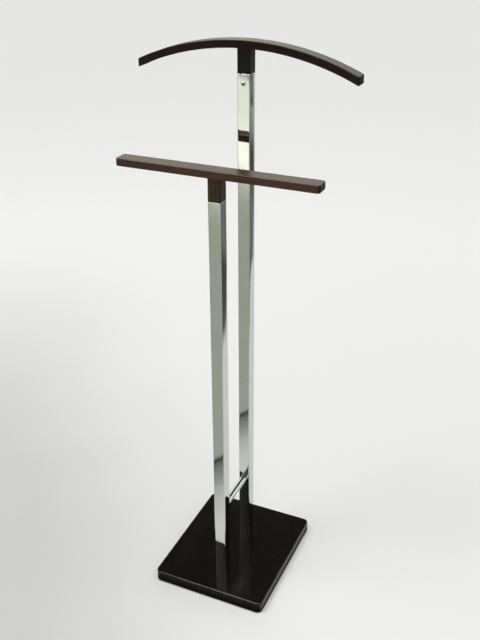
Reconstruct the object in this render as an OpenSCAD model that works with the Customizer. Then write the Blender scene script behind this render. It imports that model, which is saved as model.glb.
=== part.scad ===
// Clothes valet stand: two chromed square posts on a wood base carry a trouser bar and a coat hanger.
// X runs along the bars, the trouser bar is on the -Y side and +Z is up. The origin is on the floor,
// under the centre of the base board. Lengths are in millimetres. Threads are plain cylinders.

/* [Base] */
// Width of the base board, along the bars
base_w = 250; // [200:5:320]
// Depth of the base board, front to back
base_d = 292; // [240:2:360]
// Thickness of the base board
base_t = 25; // [22:1:35]
// Radius of the base board's corners, seen from above
base_corner_r = 12; // [8:1:30]
// Radius of the base board's eased edges
base_edge_r = 2; // [1:0.5:3]
// Gap between the floor and the base board
foot_gap = 2; // [1.5:0.5:5]
// Diameter of a foot
foot_d = 20; // [16:1:24]
// Distance from a foot's centre to the board's edges
foot_inset = 20; // [16:1:40]

/* [Posts] */
// Side of the square posts and of the blocks on them
post_w = 25; // [25:1:32]
// Wall thickness of the posts
post_wall = 1.2; // [1:0.1:1.5]
// Outer corner radius of the posts
post_corner_r = 1.8; // [1.8:0.2:2.4]
// Rounding of the posts' cut ends and of the blocks' edges against them
post_end_r = 0.5; // [0.3:0.1:0.7]
// Distance between the two posts' axes
post_pitch = 128; // [100:2:180]
// Length of the front post, which carries the trouser bar
front_post_l = 843; // [700:1:950]
// Length of the rear post, which carries the coat hanger
rear_post_l = 1040; // [980:10:1150]

/* [Cross link] */
// Outer diameter of the link between the posts
link_d = 15; // [15:1:18]
// Height of the link's axis above the base board
link_h = 152; // [80:1:400]

/* [Blocks] */
// Height of a block between its post and its bar
block_h = 44; // [36:1:60]
// Length of the block's spigot inside the post
spigot_l = 40; // [38:1:60]
// Distance from the post's top end down to the block's screw
block_screw_drop = 17; // [17:1:20]

/* [Trouser bar] */
// Length of the trouser bar
bar_l = 390; // [320:5:460]
// Width of the trouser bar, front to back
bar_w = 33; // [32:1:45]
// Thickness of the trouser bar
bar_t = 14; // [13:1:22]
// Corner radius of the trouser bar's ends, seen from above
bar_end_r = 6; // [4:0.5:12]

/* [Coat hanger] */
// Span of the coat hanger, end to end
hanger_span = 425; // [380:5:460]
// Width of the coat hanger, front to back
hanger_w = 30; // [28:1:45]
// Thickness of the coat hanger
hanger_t = 14; // [13:1:20]
// Radius of the arch on its underside
hanger_r = 500; // [400:10:900]
// Corner radius of the coat hanger's ends, seen from above
hanger_end_r = 3; // [2:0.5:8]

/* [Hidden] */
$fn = 64;
bar_edge_r = 1.5;         // eased edges of both bars
fit_gap = 0.1;            // sliding gap around a plug or spigot, on each side

// Heights
board_z = foot_gap;
base_top = board_z + base_t;
front_top = base_top + front_post_l;
rear_top = base_top + rear_post_l;
bar_z = front_top + block_h;
hanger_z = rear_top + block_h;
link_z = base_top + link_h;
arch_centre_z = hanger_z - hanger_r;

// Posts and their plugs
post_y = post_pitch / 2;
post_inner = post_w - 2 * post_wall;
post_inner_r = post_corner_r - post_wall;
insert_w = post_inner - 2 * fit_gap;
insert_r = 1;
plug_h = 20;
face_gap = post_pitch - post_w;

// Bolt that holds a post: M8 hexagon head on a wide washer, in a counterbore. Its length is the
// nearest 5 mm that reaches about 12 mm into the plug.
bolt_d = 8;
bolt_head_af = 13;
bolt_head_h = 5.3;
bolt_reach = 12;
washer_d = 24;
washer_t = 2;
bolt_hole_d = 9;
sink_d = 26;
sink_depth = 9;
washer_z = board_z + sink_depth - washer_t;
bolt_l = 5 * round((base_top - washer_z + bolt_reach) / 5);

// Pin that stops a post turning on its bolt
pin_d = 4;
pin_l = 20;
pin_x = 8;

// Feet, let into the board, and their nails
foot_let_in = 1;
foot_t = foot_gap + foot_let_in;
nail_d = 2;
nail_l = 16;
nail_head_d = 6;
nail_head_t = 1;
nail_sink_d = 7;
nail_sink_depth = 1.4;
foot_x = base_w / 2 - foot_inset;
foot_y = base_d / 2 - foot_inset;

// Screw up through a block into its bar, and the dowels beside it
bite = 10;                // depth that screws and dowels reach into a bar
long_screw_d = 5;
long_head_d = 9;
long_head_h = 3;
long_recess_size = 4.5;
long_recess_depth = 1.5;
long_sink_d = 10;
long_sink_depth = 14;
long_screw_l = spigot_l - long_sink_depth + block_h + bite;
dowel_d = 6;
dowel_l = 2 * bite;
dowel_x = 7.5;

// Screw through a post's wall into its block
side_screw_d = 4.2;
side_screw_l = 9.5;
side_head_d = 8;
side_head_h = 2.6;
side_socket_af = 4;
side_socket_depth = 1.6;

// Link: a tube over a threaded stud that runs between two rivet nuts
link_wall = 1;
stud_d = 6;
stud_grip = 10;           // length of the stud inside each post
nut_hole_d = 9;
nut_l = 12;
nut_flange_d = 12.4;
nut_flange_t = 0.8;
nut_collar_d = 12;
nut_collar_t = 2;
nut_body_d = 8.4;

wenge = [0.09, 0.06, 0.05];
bar_brown = [0.21, 0.13, 0.10];
chrome = [0.82, 0.84, 0.84];
zinc = [0.62, 0.64, 0.66];
beech = [0.80, 0.66, 0.45];
rubber = [0.10, 0.10, 0.10];

// ---- Shared shapes ----

// Square or rectangle with round corners, centred
module rounded_rect(w, d, r) {
    square([w - 2 * r, d], center = true);
    square([w, d - 2 * r], center = true);
    for (x = [-1, 1], y = [-1, 1])
        translate([x * (w / 2 - r), y * (d / 2 - r)]) circle(r);
}

// Cross-section of a plank of width w and thickness t, with eased edges, standing on y = 0
module plank_section(w, t, e) {
    translate([-w / 2 + e, 0]) square([w - 2 * e, t]);
    translate([-w / 2, e]) square([w, t - 2 * e]);
    for (x = [-1, 1], y = [e, t - e])
        translate([x * (w / 2 - e), y]) circle(e);
}

// The same section from a corner's axis out to its radius r
module plank_corner_section(r, t, e) {
    square([r - e, t]);
    translate([0, e]) square([r, t - 2 * e]);
    for (y = [e, t - e])
        translate([r - e, y]) circle(e);
}

// Block w x d x t with upright corners of radius r and its top and bottom edges eased by e,
// standing on z = 0
module plank(w, d, t, r, e) {
    rotate([90, 0, 0]) linear_extrude(d - 2 * r, center = true) plank_section(w, t, e);
    rotate([90, 0, 90]) linear_extrude(w - 2 * r, center = true) plank_section(d, t, e);
    for (x = [-1, 1], y = [-1, 1])
        translate([x * (w / 2 - r), y * (d / 2 - r), 0])
            rotate_extrude() plank_corner_section(r, t, e);
}

// Cross recess for a screwdriver, cut upwards from z = 0
module cross_recess(size, depth) {
    for (a = [0, 90])
        rotate(a) translate([-size / 2, -size / 8, 0]) cube([size, size / 4, depth]);
}

// Hexagon socket for a key, cut upwards from z = 0
module hex_socket(across_flats, depth) {
    cylinder(d = across_flats / cos(30), h = depth, $fn = 6);
}

// Round-head screw: the head's bearing face at z = 0, the head below it and the point above. The child
// is what its head is driven by.
module round_screw(d, l, head_d, head_h) {
    point = d;
    round_r = head_h * 0.6;
    difference() {
        rotate_extrude() {
            translate([0, -head_h]) square([head_d / 2 - round_r, head_h]);
            translate([0, -head_h + round_r]) square([head_d / 2, head_h - round_r]);
            intersection() {
                translate([head_d / 2 - round_r, -head_h + round_r]) circle(round_r);
                translate([0, -head_h]) square([head_d / 2, head_h]);
            }
        }
        translate([0, 0, -head_h]) children();
    }
    cylinder(d = d, h = l - point);
    translate([0, 0, l - point]) cylinder(d1 = d, d2 = d / 8, h = point);
}

// Dowel with eased ends, standing on z = 0
module dowel(d, l) {
    ease = d / 8;
    translate([0, 0, ease]) cylinder(d = d, h = l - 2 * ease);
    cylinder(d1 = d - 2 * ease, d2 = d, h = ease);
    translate([0, 0, l - ease]) cylinder(d1 = d, d2 = d - 2 * ease, h = ease);
}

module at_feet() {
    for (x = [-1, 1], y = [-1, 1])
        translate([x * foot_x, y * foot_y, 0]) children();
}

// Places a child that is drawn about the Z axis on the front post (side = -1) or the rear (side = 1)
module at_post(side) {
    translate([0, side * post_y, 0]) children();
}

// Places a child drawn along +Z so that it points into a post through the face that looks at the
// other post, with the child's z = 0 on that face
module into_inner_face(side, z) {
    translate([0, side * (post_y - post_w / 2), z]) rotate([-side * 90, 0, 0]) children();
}

// ---- Base ----

module base_board() {
    color(wenge) difference() {
        translate([0, 0, board_z]) plank(base_w, base_d, base_t, base_corner_r, base_edge_r);
        for (side = [-1, 1]) at_post(side) {
            translate([0, 0, board_z - 1]) cylinder(d = bolt_hole_d, h = base_t + 2);
            translate([0, 0, board_z - 1]) cylinder(d = sink_d, h = sink_depth + 1);
            translate([pin_x, 0, base_top - pin_l / 2]) cylinder(d = pin_d, h = pin_l);
        }
        at_feet() {
            translate([0, 0, board_z - 1]) cylinder(d = foot_d, h = foot_let_in + 1);
            translate([0, 0, board_z - 1]) cylinder(d = nail_d, h = nail_l);
        }
    }
}

module foot_pads() {
    color(rubber) at_feet() difference() {
        rotate_extrude() {
            square([foot_d / 2 - 1, foot_t]);
            translate([0, 1]) square([foot_d / 2, foot_t - 1]);
            translate([foot_d / 2 - 1, 1]) circle(1);
        }
        translate([0, 0, -1]) cylinder(d = nail_sink_d, h = nail_sink_depth + 1);
        translate([0, 0, -1]) cylinder(d = nail_d, h = foot_t + 2);
    }
}

module foot_nails() {
    color(zinc) at_feet() {
        translate([0, 0, nail_sink_depth - nail_head_t]) cylinder(d = nail_head_d, h = nail_head_t);
        translate([0, 0, nail_sink_depth]) cylinder(d = nail_d, h = nail_l - 2 * nail_d);
        translate([0, 0, nail_sink_depth + nail_l - 2 * nail_d])
            cylinder(d1 = nail_d, d2 = nail_d / 8, h = nail_d);
    }
}

// ---- Posts and what holds them ----

module post(side, length) {
    color(chrome) difference() {
        at_post(side) translate([0, 0, base_top])
            plank(post_w, post_w, length, post_corner_r, post_end_r);
        at_post(side) translate([0, 0, base_top - 1])
            linear_extrude(length + 2) rounded_rect(post_inner, post_inner, post_inner_r);
        into_inner_face(side, link_z)
            translate([0, 0, -1]) cylinder(d = nut_hole_d, h = post_w / 2);
        into_inner_face(side, base_top + length - block_screw_drop)
            translate([0, 0, -1]) cylinder(d = side_screw_d, h = post_w / 2);
    }
}

module post_plug(side) {
    color(zinc) at_post(side) translate([0, 0, base_top]) difference() {
        linear_extrude(plug_h) rounded_rect(insert_w, insert_w, insert_r);
        translate([0, 0, -1]) cylinder(d = bolt_d, h = plug_h + 2);
        translate([pin_x, 0, -1]) cylinder(d = pin_d, h = pin_l / 2 + 1);
    }
}

module post_bolt(side) {
    tip = 1;
    corner_d = bolt_head_af / cos(30);
    color(zinc) at_post(side) translate([0, 0, washer_z]) {
        translate([0, 0, -bolt_head_h]) intersection() {
            cylinder(d = corner_d, h = bolt_head_h, $fn = 6);
            cylinder(d1 = bolt_head_af, d2 = bolt_head_af + 4 * bolt_head_h, h = bolt_head_h);
        }
        cylinder(d = bolt_d, h = bolt_l - tip);
        translate([0, 0, bolt_l - tip]) cylinder(d1 = bolt_d, d2 = bolt_d - 2 * tip, h = tip);
    }
}

module post_washer(side) {
    color(zinc) at_post(side) translate([0, 0, washer_z]) difference() {
        cylinder(d = washer_d, h = washer_t);
        translate([0, 0, -1]) cylinder(d = bolt_hole_d, h = washer_t + 2);
    }
}

module post_pin(side) {
    color(zinc) at_post(side) translate([pin_x, 0, base_top - pin_l / 2]) dowel(pin_d, pin_l);
}

// ---- Link between the posts ----

module link_tube() {
    color(chrome) translate([0, 0, link_z]) rotate([90, 0, 0]) difference() {
        cylinder(d = link_d, h = face_gap, center = true);
        cylinder(d = link_d - 2 * link_wall, h = face_gap + 2, center = true);
    }
}

module link_stud() {
    color(zinc) translate([0, 0, link_z]) rotate([90, 0, 0])
        cylinder(d = stud_d, h = face_gap + 2 * stud_grip, center = true);
}

// Rivet nut set in a post's inner face: flange outside the wall, collar folded out behind it
module rivet_nut(side) {
    color(zinc) into_inner_face(side, link_z) difference() {
        union() {
            translate([0, 0, -nut_flange_t]) cylinder(d = nut_flange_d, h = nut_flange_t);
            cylinder(d = nut_hole_d, h = post_wall);
            translate([0, 0, post_wall]) cylinder(d = nut_collar_d, h = nut_collar_t);
            cylinder(d = nut_body_d, h = nut_l);
        }
        translate([0, 0, -nut_flange_t - 1]) cylinder(d = stud_d, h = nut_l + nut_flange_t + 2);
    }
}

// ---- Blocks on the posts ----

// Block with its spigot, its shoulder at z = 0, drilled for its screws and dowels
module drilled_block(side) {
    difference() {
        union() {
            plank(post_w, post_w, block_h, post_corner_r, post_end_r);
            translate([0, 0, -spigot_l])
                linear_extrude(spigot_l) rounded_rect(insert_w, insert_w, insert_r);
        }
        translate([0, 0, -spigot_l - 1]) cylinder(d = long_screw_d, h = spigot_l + block_h + 2);
        translate([0, 0, -spigot_l - 1]) cylinder(d = long_sink_d, h = long_sink_depth + 1);
        for (x = [-1, 1])
            translate([x * dowel_x, 0, block_h - bite]) cylinder(d = dowel_d, h = bite + 1);
        translate([0, -side * post_w / 2, -block_screw_drop])
            rotate([-side * 90, 0, 0]) cylinder(d = side_screw_d, h = side_screw_l);
    }
}

module front_block() {
    color(wenge) at_post(-1) translate([0, 0, front_top]) drilled_block(-1);
}

// The rear block's top follows the arch of the coat hanger
module rear_block() {
    color(wenge) at_post(1) intersection() {
        translate([0, 0, rear_top]) drilled_block(1);
        translate([0, 0, arch_centre_z]) rotate([90, 0, 0])
            cylinder(r = hanger_r, h = 2 * post_w, center = true, $fn = 720);
    }
}

module block_screw(side, post_top) {
    color(zinc) into_inner_face(side, post_top - block_screw_drop)
        round_screw(side_screw_d, side_screw_l, side_head_d, side_head_h)
            hex_socket(side_socket_af, side_socket_depth);
}

// ---- Bars and what holds them ----

// Holes in a bar's underside for the screw and the dowels, from a block whose top is at z = 0
module bar_holes() {
    translate([0, 0, -1]) cylinder(d = long_screw_d, h = bite + 1);
    for (x = [-1, 1])
        translate([x * dowel_x, 0, -1]) cylinder(d = dowel_d, h = bite + 1);
}

module trouser_bar() {
    color(bar_brown) at_post(-1) translate([0, 0, bar_z]) difference() {
        plank(bar_l, bar_w, bar_t, bar_end_r, bar_edge_r);
        bar_holes();
    }
}

// Arched bar, bent about an axis along Y and cut square at its ends. The arc is first made a few
// degrees too long, in steps of 5, and then cut to the span.
module coat_hanger() {
    half_angle = 5 * ceil(asin(hanger_span / 2 / hanger_r) / 5);
    color(wenge) at_post(1) difference() {
        intersection() {
            translate([0, 0, arch_centre_z]) rotate([90, 0, 0]) rotate(90 - half_angle)
                rotate_extrude(angle = 2 * half_angle, $fn = 720)
                    translate([hanger_r, 0]) rotate(-90) plank_section(hanger_w, hanger_t, bar_edge_r);
            translate([0, 0, arch_centre_z])
                linear_extrude(hanger_r + hanger_t + 1) rounded_rect(hanger_span, hanger_w, hanger_end_r);
        }
        translate([0, 0, hanger_z]) bar_holes();
    }
}

// Screw from inside a post, up through its block into its bar
module bar_screw(side, post_top) {
    color(zinc) at_post(side) translate([0, 0, post_top - spigot_l + long_sink_depth])
        round_screw(long_screw_d, long_screw_l, long_head_d, long_head_h)
            cross_recess(long_recess_size, long_recess_depth);
}

module bar_dowels(side, z) {
    color(beech) at_post(side)
        for (x = [-1, 1])
            translate([x * dowel_x, 0, z - dowel_l / 2]) dowel(dowel_d, dowel_l);
}

base_board();
foot_pads();
foot_nails();
post(-1, front_post_l);  // front_post
post(1, rear_post_l);  // rear_post
post_plug(-1);  // front_post_plug
post_plug(1);  // rear_post_plug
post_bolt(-1);  // front_post_bolt
post_bolt(1);  // rear_post_bolt
post_washer(-1);  // front_post_washer
post_washer(1);  // rear_post_washer
post_pin(-1);  // front_post_pin
post_pin(1);  // rear_post_pin
link_tube();
link_stud();
rivet_nut(-1);  // front_rivet_nut
rivet_nut(1);  // rear_rivet_nut
front_block();
rear_block();
block_screw(-1, front_top);  // front_block_screw
block_screw(1, rear_top);  // rear_block_screw
trouser_bar();
bar_screw(-1, front_top);  // trouser_bar_screw
bar_dowels(-1, bar_z);  // trouser_bar_dowels
coat_hanger();
bar_screw(1, rear_top);  // hanger_screw
bar_dowels(1, hanger_z);  // hanger_dowels
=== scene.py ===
import math

import bmesh
import bpy
from mathutils import Euler, Matrix, Vector


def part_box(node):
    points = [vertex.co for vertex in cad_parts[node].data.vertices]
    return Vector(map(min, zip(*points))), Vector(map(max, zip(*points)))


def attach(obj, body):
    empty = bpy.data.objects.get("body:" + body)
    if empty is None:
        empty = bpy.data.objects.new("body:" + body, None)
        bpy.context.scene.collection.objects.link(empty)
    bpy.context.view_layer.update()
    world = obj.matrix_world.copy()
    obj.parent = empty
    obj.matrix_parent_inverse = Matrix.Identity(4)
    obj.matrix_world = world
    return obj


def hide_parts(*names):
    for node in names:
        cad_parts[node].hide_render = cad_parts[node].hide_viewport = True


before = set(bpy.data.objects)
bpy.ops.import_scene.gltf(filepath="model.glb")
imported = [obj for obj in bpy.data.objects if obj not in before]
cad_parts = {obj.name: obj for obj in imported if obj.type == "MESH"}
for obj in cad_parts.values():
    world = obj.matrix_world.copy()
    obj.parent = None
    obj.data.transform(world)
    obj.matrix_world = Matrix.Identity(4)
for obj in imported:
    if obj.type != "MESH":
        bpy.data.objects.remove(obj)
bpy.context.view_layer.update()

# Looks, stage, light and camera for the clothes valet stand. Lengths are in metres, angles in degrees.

scene = bpy.context.scene


# ---- Camera ----

CAMERA_PLACE = (0.6258, -1.3567, 1.3825)
CAMERA_TURN = 24.248      # to the left of straight ahead
CAMERA_TILT = 27.569      # below the horizon
CAMERA_ROLL = -0.221
CAMERA_LENS_MM = 48.22
CAMERA_SENSOR_MM = 36.0


def make_camera():
    data = bpy.data.cameras.new("camera")
    data.lens = CAMERA_LENS_MM
    data.sensor_width = CAMERA_SENSOR_MM
    data.sensor_fit = "AUTO"
    data.clip_start = 0.05
    data.clip_end = 60.0
    camera = bpy.data.objects.new("camera", data)
    scene.collection.objects.link(camera)
    turn = Matrix.Rotation(math.radians(CAMERA_TURN), 4, "Z")
    tilt = Matrix.Rotation(math.radians(90 - CAMERA_TILT), 4, "X")
    roll = Matrix.Rotation(math.radians(CAMERA_ROLL), 4, "Z")
    camera.matrix_world = Matrix.Translation(CAMERA_PLACE) @ turn @ tilt @ roll
    scene.camera = camera


make_camera()


# ---- Node trees ----

ALONG_X = 0
ALONG_Y = 1
ALONG_Z = 2


def per_axis(grain, along, across):
    """Cells per metre on each axis, with the grain along one of them."""
    return tuple(along if axis == grain else across for axis in range(3))


def rgb(red, green, blue):
    return (red, green, blue, 1.0)


def grey(level):
    return (level, level, level, 1.0)


class Shader:
    """The node tree of a material or of the world, with a short call for each kind of node used here."""

    def __init__(self, tree):
        self.tree = tree

    def add(self, kind, settings=None, inputs=None):
        """A new node. An input's value is a number, a tuple or another node's output."""
        node = self.tree.nodes.new(kind)
        for name, value in (settings or {}).items():
            setattr(node, name, value)
        for name, value in (inputs or {}).items():
            self.put(node.inputs[name], value)
        return node

    def put(self, socket, value):
        if isinstance(value, bpy.types.NodeSocket):
            self.tree.links.new(value, socket)
        else:
            socket.default_value = value

    def place(self):
        """Where a point is on the object, in metres."""
        return self.add("ShaderNodeTexCoord").outputs["Object"]

    def vector(self, operation, a, b=(0.0, 0.0, 0.0), output="Vector"):
        return self.add("ShaderNodeVectorMath", {"operation": operation}, {0: a, 1: b}).outputs[output]

    def length(self, a):
        return self.vector("LENGTH", a, output="Value")

    def parts(self, a):
        node = self.add("ShaderNodeSeparateXYZ", None, {0: a})
        return node.outputs["X"], node.outputs["Y"], node.outputs["Z"]

    def noise(self, place, scale=1.0, detail=3.0, roughness=0.5, distortion=0.0):
        inputs = {"Vector": place, "Scale": scale, "Detail": detail}
        inputs.update({"Roughness": roughness, "Distortion": distortion})
        return self.add("ShaderNodeTexNoise", None, inputs).outputs["Fac"]

    def grained(self, place, grain, along, across, **settings):
        """Noise of its own scale along one axis, in cells per metre along that axis and across it."""
        return self.noise(self.vector("MULTIPLY", place, per_axis(grain, along, across)), **settings)

    def math(self, operation, a, b=0.0, c=0.0, clamp=False):
        settings = {"operation": operation, "use_clamp": clamp}
        return self.add("ShaderNodeMath", settings, {0: a, 1: b, 2: c}).outputs["Value"]

    def span(self, value, low, high, to_low=0.0, to_high=1.0, smooth=False):
        """The value's stretch from low to high, carried over to to_low to to_high and held there."""
        inputs = {"Value": value, "From Min": low, "From Max": high, "To Min": to_low, "To Max": to_high}
        settings = {"interpolation_type": "SMOOTHSTEP" if smooth else "LINEAR"}
        return self.add("ShaderNodeMapRange", settings, inputs).outputs["Result"]

    def blend(self, share, first, second):
        """Colour that goes from the first to the second as share goes from 0 to 1."""
        node = self.add("ShaderNodeMix", {"data_type": "RGBA"})
        self.put(node.inputs["Factor"], share)
        self.put(node.inputs["A"], first)
        self.put(node.inputs["B"], second)
        return node.outputs["Result"]

    def profile(self, value, pairs):
        """What (value, amount) pairs give at a value: the share of the largest amount, and that amount."""
        first, last = pairs[0][0], pairs[-1][0]
        most = max(amount for _, amount in pairs)
        node = self.add("ShaderNodeValToRGB", None, {"Fac": self.span(value, first, last)})
        elements = node.color_ramp.elements
        while len(elements) < len(pairs):
            elements.new(1.0)
        for element, (where, amount) in zip(elements, pairs):
            element.position = (where - first) / (last - first)
            element.color = grey(amount / most)
        return node.outputs["Color"], most

    def tinted_profile(self, value, pairs, tint):
        """The same as a colour of the given tint."""
        share, most = self.profile(value, pairs)
        return self.vector("MULTIPLY", share, tuple(most * channel for channel in tint))

    def bump(self, height, depth, normal=None):
        """Bumps of the given depth in metres where height goes from 0 to 1."""
        inputs = {"Height": height, "Distance": depth, "Strength": 1.0}
        if normal is not None:
            inputs["Normal"] = normal
        return self.add("ShaderNodeBump", None, inputs).outputs["Normal"]


def new_material(name):
    """A material with an empty Principled surface: its shader, its Principled node and itself."""
    material = bpy.data.materials.new(name)
    material.use_nodes = True
    return Shader(material.node_tree), material.node_tree.nodes["Principled BSDF"], material


def new_glow(name):
    """A material that only glows: its shader, its Emission node and itself."""
    s, surface, material = new_material(name)
    s.tree.nodes.remove(surface)
    glow = s.add("ShaderNodeEmission")
    s.tree.links.new(glow.outputs["Emission"], s.tree.nodes["Material Output"].inputs["Surface"])
    return s, glow, material


# ---- The coat hanger's arch ----

hanger_low, hanger_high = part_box("coat_hanger")
HANGER_THICKNESS = 0.014
HANGER_RADIUS = 0.500     # of the underside
HANGER_AXIS_Z = hanger_high[2] - HANGER_THICKNESS - HANGER_RADIUS
HANGER_EDGE = 0.0015      # radius of the eased edges
HANGER_CORNER = 0.003     # radius of the corners seen from above


# ---- Wood ----

RING_PITCH = 0.0042       # of the growth rings
RING_WANDER = 0.03        # how far the rings stray from true circles
WAVE_DEPTH = 0.00006      # of the slow waves that sanding leaves
PORE_COLOUR = rgb(0.0016, 0.0011, 0.0009)
LATE_WOOD_TONE = -0.35    # what late wood adds to the tone, from dark at 0 to light at 1
END_TONE = -0.3           # what end grain adds to it
PORE_SHARE = 0.7          # how much of a pore's colour shows
# Worn edges are lighter in colour: real wear and also a painted highlight
WEAR_AND_HIGHLIGHT_SHARE = 0.8          # how much of a worn edge's colour shows
PORE_ROUGHNESS = 0.12     # added in the pores
END_ROUGHNESS = 0.15      # added on end grain
WEAR_ROUGHNESS = 0.15     # added on worn edges


def edge_distance(s, place, low, high, arched=False):
    """How far a point on a board is from its nearest edge: the second smallest of its distances to the
    board's faces. The arched board's top and underside are bent about HANGER_AXIS_Z."""
    middle = tuple((a + b) / 2 for a, b in zip(low, high))
    half = tuple((b - a) / 2 for a, b in zip(low, high))
    away = s.vector("ABSOLUTE", s.vector("SUBTRACT", place, middle))
    to_x, to_y, to_z = s.parts(s.vector("SUBTRACT", half, away))
    if arched:
        from_axis = s.vector("SUBTRACT", place, (middle[0], 0.0, HANGER_AXIS_Z))
        radius = s.length(s.vector("MULTIPLY", from_axis, (1.0, 0.0, 1.0)))
        off_middle = s.math("SUBTRACT", radius, HANGER_RADIUS + HANGER_THICKNESS / 2)
        to_z = s.math("SUBTRACT", HANGER_THICKNESS / 2, s.math("ABSOLUTE", off_middle))
    nearer = s.math("MINIMUM", to_x, to_y)
    farther = s.math("MAXIMUM", to_x, to_y)
    return s.math("MAXIMUM", nearer, s.math("MINIMUM", farther, to_z))


def wood_figure(s, place, grain, pith):
    """The late wood of the growth rings round the pith, the fibres, the clouds and the pores."""
    wander = s.grained(place, grain, 2.2, 14.0, detail=2.0)
    wander = s.math("MULTIPLY", s.math("SUBTRACT", wander, 0.5), RING_WANDER)
    from_pith = s.vector("MULTIPLY", s.vector("SUBTRACT", place, pith), per_axis(grain, 0.0, 1.0))
    ring = s.math("FRACT", s.math("DIVIDE", s.math("ADD", s.length(from_pith), wander), RING_PITCH))
    late_wood = s.math("MULTIPLY", s.span(ring, 0.45, 0.92, smooth=True), s.span(ring, 0.92, 1.0, 1.0, 0.0))
    fibre = s.grained(place, grain, 14.0, 900.0, detail=4.0, roughness=0.6)
    cloud = s.grained(place, grain, 5.0, 28.0, detail=3.0)
    pore = s.span(s.grained(place, grain, 110.0, 2600.0, detail=1.0), 0.58, 0.65)
    return late_wood, fibre, cloud, pore


def wood(name, node, grain, dark, light, worn_and_highlight, pith, roughness, shine, pore_depth, edge_r,
         end_shine=0.6, arched=False):
    """Stained and lacquered hardwood, solid in three dimensions, with end grain that is darker and duller
    and edges that are a little worn and lighter, real wear with a painted highlight on them. pith is a
    point on the tree's axis, round which the growth rings lie, and shine is the lacquer's Specular IOR
    Level, of which end grain keeps the share end_shine."""
    s, surface, material = new_material(name)
    place = s.place()
    late_wood, fibre, cloud, pore = wood_figure(s, place, grain, pith)
    facing = s.parts(s.vector("ABSOLUTE", s.add("ShaderNodeTexCoord").outputs["Normal"]))[grain]
    end_grain = s.span(facing, 0.55, 0.85, smooth=True)

    tone = s.math("MULTIPLY", s.span(fibre, 0.3, 0.7), 0.4)
    tone = s.math("MULTIPLY_ADD", s.span(cloud, 0.3, 0.7), 0.6, tone)
    tone = s.math("MULTIPLY_ADD", late_wood, LATE_WOOD_TONE, tone, clamp=True)
    tone = s.math("MULTIPLY_ADD", end_grain, END_TONE, tone, clamp=True)
    colour = s.blend(tone, dark, light)
    colour = s.blend(s.math("MULTIPLY", pore, PORE_SHARE), colour, PORE_COLOUR)

    low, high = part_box(node)
    near_edge = s.span(edge_distance(s, place, low, high, arched), 0.4 * edge_r, 1.15 * edge_r, 1.0, 0.0)
    rubbed = s.span(s.noise(place, scale=38.0, detail=5.0, roughness=0.7), 0.40, 0.68)
    # Edges lighter in colour where worn: real wear, and also a painted highlight along the eased edges
    wear_and_highlight = s.math("MULTIPLY", near_edge, rubbed)
    s.put(surface.inputs["Base Color"], s.blend(s.math("MULTIPLY", wear_and_highlight, WEAR_AND_HIGHLIGHT_SHARE), colour, worn_and_highlight))

    smudge = s.noise(place, scale=19.0, detail=4.0, roughness=0.65)
    gloss = s.span(smudge, 0.35, 0.7, roughness * 0.85, roughness * 1.25)
    gloss = s.math("MULTIPLY_ADD", pore, PORE_ROUGHNESS, gloss)
    gloss = s.math("MULTIPLY_ADD", end_grain, END_ROUGHNESS, gloss)
    s.put(surface.inputs["Roughness"], s.math("MULTIPLY_ADD", wear_and_highlight, WEAR_ROUGHNESS, gloss))
    surface.inputs["IOR"].default_value = 1.5
    # The export keeps the plain factor of such a product and drops any other linked value
    lacquer = s.span(end_grain, 0.0, 1.0, 1.0, end_shine)
    s.put(surface.inputs["Specular IOR Level"], s.math("MULTIPLY", lacquer, shine))

    height = s.math("MULTIPLY_ADD", pore, -1.0, s.math("MULTIPLY", fibre, 0.2))
    wave = s.grained(place, grain, 6.0, 40.0, detail=1.0)
    s.put(surface.inputs["Normal"], s.bump(height, pore_depth, s.bump(wave, WAVE_DEPTH)))
    return material


def block_wood(name, node, dark, light, pith):
    return wood(
        name, node, ALONG_Z, dark, light, rgb(0.07, 0.035, 0.02),
        pith, roughness=0.20, shine=0.26, pore_depth=0.00003, edge_r=0.0006,
    )


def beech(name):
    """Raw beech of the dowels, pale with short darker flecks."""
    s, surface, material = new_material(name)
    place = s.place()
    fibre = s.grained(place, ALONG_Z, 60.0, 1600.0, detail=4.0)
    fleck = s.span(s.grained(place, ALONG_Z, 500.0, 2400.0, detail=1.0), 0.62, 0.7)
    colour = s.blend(fibre, rgb(0.42, 0.27, 0.14), rgb(0.62, 0.44, 0.26))
    colour = s.blend(s.math("MULTIPLY", fleck, 0.5), colour, rgb(0.28, 0.16, 0.08))
    s.put(surface.inputs["Base Color"], colour)
    s.put(surface.inputs["Roughness"], s.span(fibre, 0.3, 0.7, 0.55, 0.75))
    s.put(surface.inputs["Normal"], s.bump(fibre, 0.00004))
    return material


# ---- Metal and rubber ----

post_low, post_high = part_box("rear_post")
POST_OFFSET = (post_low[1] + post_high[1]) / 2     # of the posts' axes from the middle, along Y
POST_HALF = (post_high[1] - post_low[1]) / 2
CROWN_HEIGHT = 0.00013    # how far the shading lets a post's faces bulge
POLISH_DEPTH = 0.0000006
CHROME_TINT = rgb(0.80, 0.815, 0.79)
# Painted shade inside the screws' hexagon sockets
SOCKET_R = 0.0024         # just outside the screws' hexagon sockets
SOCKET_SHADE_FROM = 0.00015     # depth under the head's face at which a socket counts as dark


def crown(s, place):
    """Height of a post's face, from 1 at its middle to 0 at its edges: drawn tube is a little rounded."""
    across, along_y, _ = s.parts(s.vector("ABSOLUTE", place))
    to_side = s.math("ABSOLUTE", s.math("SUBTRACT", along_y, POST_OFFSET))
    fall = s.math("ADD", *[s.math("POWER", s.math("DIVIDE", a, POST_HALF), 4.0) for a in (across, to_side)])
    return s.math("SUBTRACT", 2.0, fall)


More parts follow.
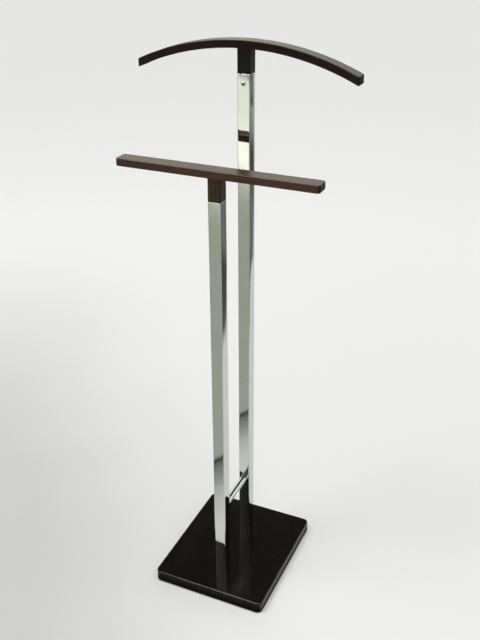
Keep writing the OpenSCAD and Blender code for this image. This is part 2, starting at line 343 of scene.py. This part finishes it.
def chrome(name, roughness, along, wave_depth, crowned=False):
    """Bright chrome plate: slightly wavy, with polishing lines along one axis and faint smudges."""
    s, surface, material = new_material(name)
    place = s.place()
    smudge = s.noise(place, scale=26.0, detail=5.0, roughness=0.7, distortion=0.6)
    lines = s.grained(place, along, 9.0, 1800.0, detail=2.0)
    scratch = s.grained(place, along, 40.0, 5200.0, detail=1.0)
    haze = s.math("MULTIPLY_ADD", s.span(scratch, 0.62, 0.75), 0.5, s.span(smudge, 0.42, 0.78))
    s.put(surface.inputs["Roughness"], s.math("MULTIPLY_ADD", haze, roughness, roughness))
    dull = rgb(*[channel * 0.9 for channel in CHROME_TINT[:3]])
    s.put(surface.inputs["Base Color"], s.blend(s.span(smudge, 0.5, 0.85), CHROME_TINT, dull))
    surface.inputs["Metallic"].default_value = 1.0
    shape = s.bump(s.grained(place, along, 5.0, 30.0, detail=1.0), wave_depth)
    if crowned:
        shape = s.bump(crown(s, place), CROWN_HEIGHT, shape)
    s.put(surface.inputs["Normal"], s.bump(lines, POLISH_DEPTH, shape))
    return material


def screw_chrome(name, node, head_end):
    """Nickel-chrome of a screw along Y, with painted shade inside its hexagon socket, which is coloured
    dull and dark.
    Its head is at the low end of its box (head_end = 0) or at the high end (head_end = 1)."""
    s, surface, material = new_material(name)
    place = s.place()
    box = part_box(node)
    low, high = box
    face = ((low[0] + high[0]) / 2, box[head_end][1], (low[2] + high[2]) / 2)
    from_face = s.vector("ABSOLUTE", s.vector("SUBTRACT", place, face))
    off_axis = s.length(s.vector("MULTIPLY", from_face, (1.0, 0.0, 1.0)))
    # Painted shade: the socket's inside gets a near black colour
    inside = s.math("LESS_THAN", off_axis, SOCKET_R)
    below = s.math("GREATER_THAN", s.parts(from_face)[1], SOCKET_SHADE_FROM)
    socket = s.math("MULTIPLY", inside, below)
    smudge = s.noise(place, scale=700.0, detail=4.0, roughness=0.6)
    bright = s.blend(s.span(smudge, 0.35, 0.7), rgb(0.72, 0.73, 0.72), rgb(0.58, 0.59, 0.57))
    s.put(surface.inputs["Base Color"], s.blend(socket, bright, rgb(0.06, 0.057, 0.05)))
    gloss = s.span(smudge, 0.3, 0.7, 0.09, 0.2)
    s.put(surface.inputs["Roughness"], s.math("MULTIPLY_ADD", socket, 0.4, gloss))
    surface.inputs["Metallic"].default_value = 1.0
    s.put(surface.inputs["Normal"], s.bump(smudge, 0.000006))
    return material


def zinc_steel(name):
    """Zinc-plated steel: dull, mottled, with a fine crystalline grain."""
    s, surface, material = new_material(name)
    place = s.place()
    mottle = s.noise(place, scale=160.0, detail=4.0, roughness=0.6)
    crystals = s.noise(place, scale=2600.0, detail=2.0)
    s.put(surface.inputs["Base Color"], s.blend(mottle, rgb(0.42, 0.43, 0.45), rgb(0.62, 0.63, 0.62)))
    s.put(surface.inputs["Roughness"], s.span(mottle, 0.3, 0.7, 0.28, 0.5))
    surface.inputs["Metallic"].default_value = 1.0
    s.put(surface.inputs["Normal"], s.bump(crystals, 0.00002))
    return material


def rubber(name):
    """Black moulded rubber with a fine matt skin and some dust."""
    s, surface, material = new_material(name)
    place = s.place()
    skin = s.noise(place, scale=2200.0, detail=3.0)
    dust = s.noise(place, scale=90.0, detail=5.0, roughness=0.7)
    dusty = s.blend(s.span(dust, 0.5, 0.85), rgb(0.012, 0.012, 0.012), rgb(0.05, 0.047, 0.043))
    s.put(surface.inputs["Base Color"], dusty)
    s.put(surface.inputs["Roughness"], s.span(dust, 0.3, 0.8, 0.55, 0.85))
    s.put(surface.inputs["Normal"], s.bump(skin, 0.00003))
    return material


# ---- Which piece has which material ----

NODE_MATERIALS = {
    "base_board": wood(
        "base_wood", "base_board", ALONG_Y,
        rgb(0.0023, 0.0015, 0.0010), rgb(0.0054, 0.0034, 0.0024), rgb(0.110, 0.070, 0.060),
        (-0.06, 0.0, -0.16), roughness=0.13, shine=0.5, pore_depth=0.000008, edge_r=0.002,
    ),
    "trouser_bar": wood(
        "bar_wood", "trouser_bar", ALONG_X,
        rgb(0.019, 0.0060, 0.0026), rgb(0.070, 0.0230, 0.0105), rgb(0.12, 0.055, 0.03),
        (0.0, -0.15, 0.80), roughness=0.20, shine=0.34, pore_depth=0.00003, edge_r=0.0015,
        end_shine=0.25,
    ),
    "coat_hanger": wood(
        "hanger_wood", "coat_hanger", ALONG_X,
        rgb(0.006, 0.0013, 0.0009), rgb(0.024, 0.0044, 0.0032), rgb(0.07, 0.03, 0.022),
        (0.0, 0.18, 0.98), roughness=0.18, shine=0.22, pore_depth=0.00003, edge_r=HANGER_EDGE,
        end_shine=0.25, arched=True,
    ),
    "front_block": block_wood(
        "front_block_wood", "front_block",
        rgb(0.012, 0.0055, 0.0024), rgb(0.052, 0.0240, 0.0105), (-0.09, -0.2, 0.0),
    ),
    # Same wood as the front block, with darker colours as painted shade under the hanger
    "rear_block": block_wood(
        "rear_block_wood_painted_shade", "rear_block",
        rgb(0.0025, 0.0008, 0.0004), rgb(0.007, 0.0020, 0.0012), (0.11, -0.06, 0.0),
    ),
    "front_block_screw": screw_chrome("front_screw_chrome", "front_block_screw", head_end=1),
    "rear_block_screw": screw_chrome("rear_screw_chrome", "rear_block_screw", head_end=0),
}

SLOT_MATERIALS = {
    "post_chrome": chrome("post_chrome", 0.03, ALONG_Z, 0.00002, crowned=True),
    "link_chrome": chrome("link_chrome", 0.09, ALONG_Y, 0.00001),
    "zinc_steel": zinc_steel("zinc_steel"),
    "dowel_wood": beech("dowel_wood"),
    "foot_rubber": rubber("foot_rubber"),
}

for node_name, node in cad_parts.items():
    for cad_slot in node.material_slots:
        slot_name = cad_slot.material.name.split(".")[0]
        cad_slot.material = NODE_MATERIALS.get(node_name) or SLOT_MATERIALS[slot_name]


# ---- Coat hanger with eased ends ----

STEP_LENGTH = 0.004       # along the arch
EASE_STEPS = 5            # across an eased edge
CORNER_STEPS = 5          # round a corner seen from above
DRILL_STEPS = 32          # round a hole
HOLE_DEPTH = 0.010
SCREW_HOLE_D = 0.005
DOWEL_HOLE_D = 0.006
DOWEL_X = 0.0075
SHARP_FROM = 40           # angle between two faces from which their edge stays sharp


def object_from(bm, name):
    """A new object with bm as its mesh. bm is used up."""
    mesh = bpy.data.meshes.new(name)
    bm.to_mesh(mesh)
    bm.free()
    thing = bpy.data.objects.new(name, mesh)
    scene.collection.objects.link(thing)
    return thing


def quarter_turn(steps):
    """The angles from nothing to a right angle, in equal steps."""
    return [math.radians(90 * step / steps) for step in range(steps + 1)]


def half_outline(length, width, corner, inset):
    """One long side of a board seen from above, with its two corners: (x, y) from one end to the other."""
    centre_x = length / 2 - corner
    centre_y = width / 2 - corner
    radius = corner - inset
    right = []
    for angle in quarter_turn(CORNER_STEPS):
        right.append((centre_x + radius * math.sin(angle), centre_y + radius * math.cos(angle)))
    left = [(-x, y) for x, y in reversed(right)]
    steps = math.ceil(2 * centre_x / STEP_LENGTH)
    between = [(-centre_x + 2 * centre_x * step / steps, centre_y + radius) for step in range(1, steps)]
    return left + between + right


def edge_profile(thickness, ease):
    """(inset, height) from the underside's rim to the top's rim, round both eased edges."""
    lower = [(ease * (1 - math.sin(a)), ease * (1 - math.cos(a))) for a in quarter_turn(EASE_STEPS)]
    upper = [(inset, thickness - height) for inset, height in reversed(lower)]
    return lower + upper


def arched_board(name, centre_y):
    """A board with eased edges, bent about an axis along Y as the CAD's coat hanger is."""
    length = hanger_high[0] - hanger_low[0]
    width = hanger_high[1] - hanger_low[1]
    bm = bmesh.new()
    rings = []
    for inset, height in edge_profile(HANGER_THICKNESS, HANGER_EDGE):
        side = half_outline(length, width, HANGER_CORNER, inset)
        radius = HANGER_RADIUS + height
        flat = side + [(x, -y) for x, y in reversed(side)]
        points = [(x, centre_y + y, HANGER_AXIS_Z + math.sqrt(radius ** 2 - x ** 2)) for x, y in flat]
        rings.append([bm.verts.new(point) for point in points])
    count = len(rings[0])
    for lower, upper in zip(rings, rings[1:]):
        for i in range(count):
            after = (i + 1) % count
            bm.faces.new((lower[after], lower[i], upper[i], upper[after]))
    for ring, top in ((rings[0], False), (rings[-1], True)):
        for i in range(count // 2 - 1):
            corners = (ring[i], ring[count - 1 - i], ring[count - 2 - i], ring[i + 1])
            bm.faces.new(corners if top else corners[::-1])
    bmesh.ops.recalc_face_normals(bm, faces=bm.faces)
    return object_from(bm, name)


def drill(board, centre_y):
    """Cuts the blind holes for the screw and the dowels up into the board."""
    bm = bmesh.new()
    foot = HANGER_AXIS_Z + HANGER_RADIUS
    for x, diameter in ((0.0, SCREW_HOLE_D), (-DOWEL_X, DOWEL_HOLE_D), (DOWEL_X, DOWEL_HOLE_D)):
        bmesh.ops.create_cone(
            bm, cap_ends=True, segments=DRILL_STEPS, radius1=diameter / 2, radius2=diameter / 2,
            depth=2 * HOLE_DEPTH, matrix=Matrix.Translation((x, centre_y, foot)),
        )
    drills = object_from(bm, "drills")
    cut = board.modifiers.new("cut", "BOOLEAN")
    cut.operation = "DIFFERENCE"
    cut.solver = "EXACT"
    cut.object = drills
    settle(board)
    drill_mesh = drills.data
    bpy.data.objects.remove(drills)
    bpy.data.meshes.remove(drill_mesh)


def settle(thing):
    """Turns an object's modifiers into its mesh."""
    graph = bpy.context.evaluated_depsgraph_get()
    made = bpy.data.meshes.new_from_object(thing.evaluated_get(graph), depsgraph=graph)
    thing.modifiers.clear()
    old = thing.data
    thing.data = made
    bpy.data.meshes.remove(old)


def smooth_but_crisp(thing):
    """Smooth shading with flat faces kept flat, and sharp edges where faces meet at SHARP_FROM or more."""
    bm = bmesh.new()
    bm.from_mesh(thing.data)
    for face in bm.faces:
        face.smooth = True
    for edge in bm.edges:
        edge.smooth = len(edge.link_faces) == 2 and edge.calc_face_angle() < math.radians(SHARP_FROM)
    bm.to_mesh(thing.data)
    bm.free()
    weighted = thing.modifiers.new("weighted", "WEIGHTED_NORMAL")
    weighted.keep_sharp = True
    settle(thing)


def make_hanger():
    centre_y = (hanger_low[1] + hanger_high[1]) / 2
    hanger = arched_board("coat_hanger_arch", centre_y)
    drill(hanger, centre_y)
    smooth_but_crisp(hanger)
    hanger.data.materials.clear()
    hanger.data.materials.append(NODE_MATERIALS["coat_hanger"])
    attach(hanger, "root")
    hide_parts("coat_hanger")


make_hanger()


# ---- Floor ----

FLOOR_RADIUS = 16.0

# Painted shade on the studio paper near the stand: its lightness by the distance along the way in which it
# gets lighter
PAPER_WHITE = rgb(1.0, 1.0, 0.99)
PAPER_WAY = (0.762, 0.648, 0.0)
PAPER_SHADE_TONES = (
    (-0.7, 0.51), (-0.45, 0.52), (-0.25, 0.60), (-0.08, 0.69), (0.1, 0.75), (0.35, 0.765), (1.0, 0.765),
)
PAPER_EVEN = 0.88         # lightness away from the stand
EVEN_OVER = (0.4, 2.4)    # distance from the stand over which the paper gets even
PAPER_WANDER = 0.3        # how far its tones stray from straight bands


def floor_paper():
    """Off-white studio paper, with painted shade that makes it a little darker towards the front left."""
    s, surface, material = new_material("floor_paper")
    place = s.place()
    along = s.vector("DOT_PRODUCT", place, PAPER_WAY, output="Value")
    soft = s.noise(place, scale=1.3, detail=2.0)
    way = s.math("MULTIPLY_ADD", s.math("SUBTRACT", soft, 0.5), PAPER_WANDER, along)
    # Painted shade: the paper's colour darker towards the front left
    tone, most = s.profile(way, PAPER_SHADE_TONES)
    near = s.blend(s.math("MULTIPLY", tone, most), grey(0.0), PAPER_WHITE)
    even = s.span(s.length(place), *EVEN_OVER, smooth=True)
    s.put(surface.inputs["Base Color"], s.blend(even, near, grey(PAPER_EVEN)))
    fibre = s.noise(place, scale=400.0, detail=3.0)
    surface.inputs["Roughness"].default_value = 0.85
    surface.inputs["Specular IOR Level"].default_value = 0.0
    s.put(surface.inputs["Normal"], s.bump(fibre, 0.0001))
    return material


# ---- Reflector: a glowing disc just over the real floor, a painted reflection of the floor as the gloss and the chrome see it ----

REFLECTOR_RADIUS = 15.5
REFLECTOR_HEIGHT = 0.0012

# Painted reflection of the paper: its brightness from the front of the stand to behind it, by y
FLOOR_TONES = (
    (-5.0, 0.18), (-4.8, 0.18), (-4.5, 1.67), (-3.6, 1.67), (-3.2, 1.91), (-3.0, 2.2), (-2.6, 2.2),
    (-2.3, 1.0), (-2.1, 0.78), (-1.9, 0.68), (0.0, 0.67), (5.0, 0.67),
)
FRONT_TINT = rgb(0.96, 1.0, 0.84)
BACK_TINT = rgb(0.97, 1.0, 0.95)
TINT_OVER = (-0.7, -0.3)  # y over which the front's tint gives way to the back's

# The painted shadow of the paper's fold in front of the stand, where y + FOLD_SLOPE * x + FOLD_OFFSET = 0,
# and how bright the paper is by the distance behind it. In front of the fold it stays in painted half
# shade.
FOLD_SLOPE = 1.1
FOLD_OFFSET = 0.665
FOLD_SHADOW_TONES = (
    (-0.05, 0.56), (-0.022, 0.56), (-0.008, 0.38), (0.002, 0.08), (0.012, 0.10), (0.028, 0.24),
    (0.057, 0.33), (0.084, 0.40), (0.11, 0.47), (0.145, 0.60), (0.174, 0.71), (0.23, 0.84), (0.29, 0.93),
    (0.36, 1.0),
)

SIDE_SHADE = 0.012        # how far the board's shade reaches over the floor beside it
FRONT_SHADE = 0.035       # and in front of it and behind it
DEEPEST_SHADE = 0.10

# Where the paper ends behind the stand: its right edge's x by y, and its width there
PAPER_EDGE = ((0.9, 0.47), (1.33, 0.61), (1.6, 0.655), (2.4, 0.95), (5.0, 2.12))
PAPER_WIDTH = 0.7
RIGHT_EDGE_OVER = (0.95, 1.1)     # distance from the stand over which the right edge sets in
LEFT_EDGE_OVER = (1.45, 1.6)      # y over which the left edge sets in

# Painted reflection of the room's floor past the paper: its brightness by y
ROOM_FLOOR_TONES = (
    (-0.5, 0.36), (0.5, 0.30), (1.0, 0.08), (1.45, 0.06), (1.65, 0.14), (2.1, 0.15), (2.4, 0.11),
    (2.75, 0.06), (3.0, 0.08), (3.3, 0.22), (3.8, 0.28), (4.0, 0.10), (4.3, 0.20), (4.9, 0.06),
)
STREAKS_ROUND = 170.0     # noise cells per radian round the stand
STREAKS_OUT = 0.8         # and per metre away from it
STREAK_RANGE = (0.6, 1.5)


def paper_light(s, x, y):
    """Painted brightness of the paper, with the painted shadow of its fold and the painted shade of the
    board on it.
    """
    tone, most = s.profile(y, FLOOR_TONES)
    off_fold = s.math("ADD", s.math("MULTIPLY_ADD", x, FOLD_SLOPE, y), FOLD_OFFSET)
    fold_shadow, _ = s.profile(off_fold, FOLD_SHADOW_TONES)
    # Painted shade of the board on the paper, darkest next to the board
    board_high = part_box("base_board")[1]
    beside = s.math("DIVIDE", s.math("SUBTRACT", s.math("ABSOLUTE", x), board_high[0]), SIDE_SHADE)
    before = s.math("DIVIDE", s.math("SUBTRACT", s.math("ABSOLUTE", y), board_high[1]), FRONT_SHADE)
    shade = s.span(s.math("MAXIMUM", beside, before), 0.1, 1.0, DEEPEST_SHADE, 1.0, smooth=True)
    return s.math("MULTIPLY", s.math("MULTIPLY", tone, fold_shadow), s.math("MULTIPLY", shade, most))


def room_light(s, place, x, y):
    """Painted reflection of the room's floor: its brightness, in streaks that run away from the stand."""
    bearing = s.math("MULTIPLY", s.math("ARCTAN2", y, x), STREAKS_ROUND)
    reach = s.math("MULTIPLY", s.length(place), STREAKS_OUT)
    rays = s.add("ShaderNodeCombineXYZ", None, {"X": bearing, "Y": reach}).outputs["Vector"]
    streaks = s.span(s.noise(rays, detail=2.0), 0.3, 0.7, *STREAK_RANGE)
    tone, most = s.profile(y, ROOM_FLOOR_TONES)
    return s.math("MULTIPLY", s.math("MULTIPLY", tone, streaks), most)


def past_paper(s, place, x, y):
    """1 past the paper's right or left edge behind the stand, and 0 on the paper."""
    edge, most = s.profile(y, PAPER_EDGE)
    off_edge = s.math("SUBTRACT", x, s.math("MULTIPLY", edge, most))
    off_left_edge = s.span(off_edge, -PAPER_WIDTH - 0.1, -PAPER_WIDTH, 1.0, 0.0)
    on_right = s.math("MULTIPLY", s.span(off_edge, -0.01, 0.02), s.span(s.length(place), *RIGHT_EDGE_OVER))
    on_left = s.math("MULTIPLY", off_left_edge, s.span(y, *LEFT_EDGE_OVER))
    return s.math("MAXIMUM", on_right, on_left)


def painted_reflection_glow():
    """Painted reflection: bright paper with the painted shadow of a fold, painted shade round the board,
    and the streaky dark room beyond.
    """
    s, glow, material = new_glow("painted_reflection_glow")
    place = s.place()
    x, y, _ = s.parts(place)
    s.put(glow.inputs["Color"], s.blend(s.span(y, *TINT_OVER), FRONT_TINT, BACK_TINT))
    strength = s.blend(past_paper(s, place, x, y), paper_light(s, x, y), room_light(s, place, x, y))
    s.put(glow.inputs["Strength"], strength)
    return material


# ---- The stage's pieces ----

BACKDROP_WHITE = rgb(0.79, 0.79, 0.775)
ROUND_STEPS = 96          # round a disc
DOME_STEPS = (64, 32)     # round the whole sphere, and from pole to pole


def backdrop_glow():
    """The plain far wall, as light as the floor is in front of it."""
    s, glow, material = new_glow("backdrop_glow")
    s.put(glow.inputs["Color"], BACKDROP_WHITE)
    s.put(glow.inputs["Strength"], 1.0)
    return material


def disc(name, radius, height):
    bm = bmesh.new()
    bmesh.ops.create_circle(bm, cap_ends=True, segments=ROUND_STEPS, radius=radius)
    thing = object_from(bm, name)
    thing.location.z = height
    return thing


def dome(name, radius):
    """Half a sphere over the floor."""
    bm = bmesh.new()
    bmesh.ops.create_uvsphere(bm, u_segments=DOME_STEPS[0], v_segments=DOME_STEPS[1], radius=radius)
    below = [vert for vert in bm.verts if vert.co.z < -0.01 * radius]
    bmesh.ops.delete(bm, geom=below, context="VERTS")
    thing = object_from(bm, name)
    return thing


def only_for(thing, camera=False, gloss=False):
    """Leaves a stage piece visible to camera rays or to glossy rays alone."""
    thing.visible_camera = camera
    thing.visible_glossy = gloss
    thing.visible_diffuse = False
    thing.visible_shadow = False
    thing.visible_transmission = False
    thing.visible_volume_scatter = False


def make_stage():
    floor = disc("floor", FLOOR_RADIUS, 0.0)
    floor.data.materials.append(floor_paper())
    reflector = disc("reflector", REFLECTOR_RADIUS, REFLECTOR_HEIGHT)
    # The reflector glows and only glossy rays see it: a painted reflection of the floor and the room
    reflector.data.materials.append(painted_reflection_glow())
    only_for(reflector, gloss=True)
    backdrop = dome("backdrop", FLOOR_RADIUS)
    backdrop.data.materials.append(backdrop_glow())
    only_for(backdrop, camera=True)


# ---- The room round the stage, which lights the stand and is mirrored in it ----

# Brightness over the height in degrees: of the white screen behind the stand, and elsewhere
SCREEN_TONES = ((0.0, 0.30), (7.0, 1.05), (30.0, 1.05), (36.5, 0.07))
SCREEN_TINT = (1.0, 1.03, 0.88)
ROOM_TONES = ((0.0, 0.55), (8.0, 0.30), (20.0, 0.12), (34.0, 0.035))
ROOM_TINT = (1.0, 1.0, 0.96)
SCREEN_OVER = (0.0, 0.5)  # a direction's part along +Y over which the screen sets in

CEILING_OVER = (36.0, 38.0)       # height over which the ceiling gets dark on the +X side
CEILING_SIDE = (-0.15, 0.15)      # a direction's part along +X over which it gets dark
CEILING_RIGHT = 0.2       # what is left of its brightness there

# The window in front of the stand: its height, its bearing from -Y round towards -X, and its brightness
# over the height
WINDOW_HEIGHT = (36.0, 47.0)
WINDOW_BEARING = (25.6, 37.0)
WINDOW_SLANT = 0.45       # how much its near side leans, in degrees per degree
WINDOW_UPRIGHT = 44.0     # height at which the leaning side is at its bearing
WINDOW_NEAR_BLUR = 0.7    # to each side of the near side
WINDOW_FAR_BLUR = 2.0     # past the far side
WINDOW_BLUR = 1.0         # to each side of the top and the bottom
WINDOW_TONES = ((36.0, 0.42), (41.0, 0.42), (43.5, 1.0), (47.0, 1.0))
WINDOW_TINT = (0.96, 1.0, 1.0)


def in_degrees(s, radians):
    return s.math("MULTIPLY", radians, 180 / math.pi)


def window_share(s, right, back, height):
    """1 in the window and 0 outside it, with soft sides."""
    low, high = WINDOW_HEIGHT
    near, far = WINDOW_BEARING
    ahead = s.math("MULTIPLY", back, -1.0)
    bearing = in_degrees(s, s.math("ARCTAN2", s.math("MULTIPLY", right, -1.0), ahead))
    leaning = s.math("MULTIPLY_ADD", s.math("SUBTRACT", height, WINDOW_UPRIGHT), -WINDOW_SLANT, bearing)
    past_near = s.span(leaning, near - WINDOW_NEAR_BLUR, near + WINDOW_NEAR_BLUR)
    before_far = s.span(bearing, far, far + WINDOW_FAR_BLUR, 1.0, 0.0)
    over_sill = s.span(height, low - WINDOW_BLUR, low + WINDOW_BLUR)
    under_head = s.span(height, high - WINDOW_BLUR, high + WINDOW_BLUR, 1.0, 0.0)
    across = s.math("MULTIPLY", past_near, before_far)
    return s.math("MULTIPLY", across, s.math("MULTIPLY", over_sill, under_head))


def make_world():
    world = bpy.data.worlds.new("studio")
    scene.world = world
    world.use_nodes = True
    s = Shader(world.node_tree)
    right, back, up = s.parts(s.add("ShaderNodeTexCoord").outputs["Generated"])
    height = in_degrees(s, s.math("ARCSINE", up))
    screen = s.tinted_profile(height, SCREEN_TONES, SCREEN_TINT)
    room = s.tinted_profile(height, ROOM_TONES, ROOM_TINT)
    light = s.blend(s.span(back, *SCREEN_OVER, smooth=True), room, screen)
    on_right = s.span(right, *CEILING_SIDE, 0.0, 1.0 - CEILING_RIGHT)
    ceiling = s.span(height, *CEILING_OVER)
    light = s.blend(s.math("MULTIPLY", ceiling, on_right), light, grey(0.0))
    window = s.tinted_profile(height, WINDOW_TONES, WINDOW_TINT)
    light = s.blend(window_share(s, right, back, height), light, window)
    background = s.tree.nodes["Background"]
    s.put(background.inputs["Color"], light)
    background.inputs["Strength"].default_value = 1.0


# ---- Lights ----

KEY_ENERGY = 2.35
KEY_SIZE = 58             # the soft key light's width as an angle
KEY_LEAN = (14, 10)       # from straight above, about X and about Y
SOFTBOX_WATTS = 28.0
SOFTBOX_SIZE = 1.0
SOFTBOX_PLACE = (-0.9, -0.7, 2.8)
SOFTBOX_AIM = (0.0, 0.0, 0.5)


def make_lights():
    key = bpy.data.lights.new("soft_key", "SUN")
    key.energy = KEY_ENERGY
    key.angle = math.radians(KEY_SIZE)
    key_object = bpy.data.objects.new("soft_key", key)
    about_x, about_y = KEY_LEAN
    key_object.rotation_euler = Euler((math.radians(about_x), math.radians(about_y), 0.0))
    scene.collection.objects.link(key_object)
    softbox = bpy.data.lights.new("front_softbox", "AREA")
    softbox.shape = "DISK"
    softbox.size = SOFTBOX_SIZE
    softbox.energy = SOFTBOX_WATTS
    softbox_object = bpy.data.objects.new("front_softbox", softbox)
    softbox_object.location = SOFTBOX_PLACE
    aim = Vector(SOFTBOX_AIM) - softbox_object.location
    softbox_object.rotation_euler = aim.to_track_quat("-Z", "Y").to_euler()
    scene.collection.objects.link(softbox_object)


make_stage()
make_world()
make_lights()
scene.view_settings.view_transform = "Standard"
